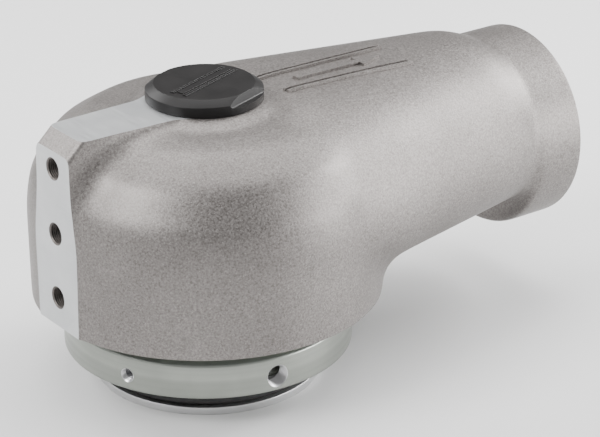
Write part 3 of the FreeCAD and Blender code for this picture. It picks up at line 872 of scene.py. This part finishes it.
def flat_cutter(turn):
    """Wedge that leaves one leaning spanner flat with a shelf under it."""
    outline = [(flat_foot, strip_z + shelf_h), (flat_head, strip_z + cap_h),
               (flat_head, strip_z + cap_h + 2),
               (30, strip_z + cap_h + 2), (30, strip_z + shelf_h)]
    bm = prism(outline, 60, low=-30)
    hard = [e for e in bm.edges if all(abs(v.co.x - flat_foot * MM) < 0.00001 for v in e.verts)]
    bmesh.ops.bevel(bm, geom=hard, offset=0.8 * MM, segments=4, affect="EDGES", profile=0.5, material=-1)
    return turn_cap_part(bm, turn + 90)


def cap_block(length, width, y, low, high):
    """A block along the cap's turn, with broken top edges."""
    outline = [(-length / 2, y - width / 2), (length / 2, y - width / 2), (length / 2, y + width / 2),
               (-length / 2, y + width / 2)]
    bm = prism(outline, high - low, "Z", low)
    top = [e for e in bm.edges if all(v.co.z > (high - 0.01) * MM for v in e.verts)]
    bmesh.ops.bevel(bm, geom=top, offset=0.12 * MM, segments=2, affect="EDGES", profile=0.5, material=-1)
    return turn_cap_part(bm, cap_turn)


carve(cap, [flat_cutter(cap_turn), flat_cutter(cap_turn + 180)])
soft = cap.modifiers.new("soft", "BEVEL")
soft.width = 0.35 * MM
soft.segments = 3
soft.limit_method = "ANGLE"
soft.angle_limit = math.radians(14)
apply_modifiers(cap)
crown = strip_z + cap_h
rib_h, mark_l = 0.5, 37.0
for offset, width in ((0.0, 3.2), (2.6, 0.8), (3.8, 0.8), (-2.6, 0.8), (-3.8, 0.8)):
    length = mark_l - (0 if offset else 3)
    carve(cap, [cap_block(length, width, offset, crown - 0.4, crown + rib_h)], "UNION")
crisp(cap, 12)
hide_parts("cylinder_cap")
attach(cap, "cap")
count(cap)

# %% [markdown]
# ## Springs
#
# The return spring shortens as the valve opens, and the relief spring as its plate lifts. Spinning a
# circle with a lift per step winds the wire into a helix.

# %% Springs


def coil(name, wire, mean_r, turns, low, high, body, node):
    """A coil spring between two heights, its wire capped at both ends."""
    bm = bmesh.new()
    start = low + wire / 2 + 0.05
    rise = high - low - wire - 0.1
    steps = int(turns * 40)
    ends = bmesh.ops.create_circle(bm, cap_ends=False, segments=14, radius=wire / 2 * MM,
                                   matrix=Matrix.Translation((mean_r * MM, 0, start * MM))
                                   @ Matrix.Rotation(math.pi / 2, 4, "X"))["verts"]
    edges = list({e for v in ends for e in v.link_edges})
    bmesh.ops.spin(bm, geom=ends + edges, cent=(0, 0, 0), axis=(0, 0, 1), dvec=(0, 0, rise * MM / steps),
                   angle=2 * math.pi * turns, steps=steps, use_merge=False, use_normal_flip=False,
                   use_duplicate=False)
    bmesh.ops.holes_fill(bm, edges=bm.edges)
    bmesh.ops.recalc_face_normals(bm, faces=bm.faces)
    piece = new_object(name, bm, [steel])
    crisp(piece, 60)
    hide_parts(node)
    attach(piece, body)
    count(piece)
    return piece


spring_low = bore_floor
spring_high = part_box("piston")[0].z / MM
return_coil = coil("return_coil", 2.2, 13.0, 5.5, spring_low, spring_high, "hood", "return_spring")
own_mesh(return_coil)

plate_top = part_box("relief_plate")[1].z / MM
collar_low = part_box("relief_collar")[0].z / MM
relief_coil = coil("relief_coil", 1.3, 12.5, 4.0, plate_top, collar_low, "valve", "relief_spring")
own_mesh(relief_coil)

# %% [markdown]
# ## Finishes for the pieces that stay
#
# The pieces inside the valve keep the frame's shape: a rod, a piston, discs, clips and seals are plain
# turned shapes already. They only need their finish.

# %% Dress the frame's pieces
kept = {
    # The neck sleeve takes the ring's darker finish, not the bright turned one. This is painted shade for
    # the deep recess under the rim.
    ring_finish: ["neck_sleeve"],
    bright_turned: ["piston", "poppet", "seal_retainer"],
    steel: ["grub_screws", "piston_rod", "piston_nut", "seal_clip", "retainer_screws", "relief_plate",
            "relief_collar", "collar_clip"],
    rubber: ["neck_oring", "rod_seal", "piston_seal", "poppet_seal", "relief_seal", "cap_seal"],
    bronze: ["rod_bush"],
}
for finish, names in kept.items():
    for name in names:
        for slot in nodes[name].material_slots:
            slot.material = finish
print("dressed:", sum(len(names) for names in kept.values()), "nodes")

# %% [markdown]
# ## Floor and light
#
# The photograph has a white ground and very soft light. Five square lamps stand round the valve, in
# places given as the camera sees them: right, towards the camera, and up. The one behind shines almost
# straight down in a narrower beam, and the others face the valve. A weak white world fills the shadows.
# Large area lights give soft edges to every reflection.

# %% Floor and lights
floor_mesh = bmesh.new()
bmesh.ops.create_grid(floor_mesh, x_segments=1, y_segments=1, size=4.0)


def pale_floor():
    material, tree, shader, place = start_material("pale_floor", 0.0, 0.8)
    tone = two_tones(tree, grain(tree, place, 3.0), (0.70, 0.70, 0.70), (0.74, 0.74, 0.74))
    tree.links.new(tone, shader.inputs["Base Color"])
    return material


floor = new_object("floor", floor_mesh, [pale_floor()])


def soft_light(name, place, target, size, watts, beam=180):
    """A square lamp; beam is the angle, in degrees, that its light spreads to."""
    data = bpy.data.lights.new(name, "AREA")
    data.shape = "SQUARE"
    data.size = size
    data.energy = watts
    data.spread = math.radians(beam)
    lamp = bpy.data.objects.new(name, data)
    lamp.location = place
    lamp.rotation_euler = (Vector(target) - Vector(place)).to_track_quat("-Z", "Y").to_euler()
    bpy.context.scene.collection.objects.link(lamp)


middle = Vector((0.05, 0, 0.06))
to_right = Vector((math.cos(math.radians(camera_azimuth)), math.sin(math.radians(camera_azimuth)), 0))
to_front = Vector((to_right.y, -to_right.x, 0))


def in_studio(right, front, height):
    """A place beside the valve, as the camera sees it."""
    return middle + to_right * right + to_front * front + Vector((0, 0, height))


soft_light("behind", in_studio(0, -0.5, 1.1), in_studio(0, -0.501, 0), 1.2, 8.8, 100)
soft_light("left_high", in_studio(-0.7, 0.5, 0.7), middle, 0.5, 12.4)
soft_light("right_low", in_studio(1.0, 0.2, 0.2), middle, 0.5, 10.3)
soft_light("right_back", in_studio(0.9, -0.5, 0.5), middle, 0.5, 18.1)
soft_light("left_back", in_studio(-0.8, -0.5, 0.6), middle, 0.5, 7.8)
world = bpy.data.worlds.new("studio")
world.use_nodes = True
world.node_tree.nodes["Background"].inputs["Color"].default_value = (1, 1, 1, 1)
world.node_tree.nodes["Background"].inputs["Strength"].default_value = 0.35
bpy.context.scene.world = world
print("lamps:", len(bpy.data.lights))
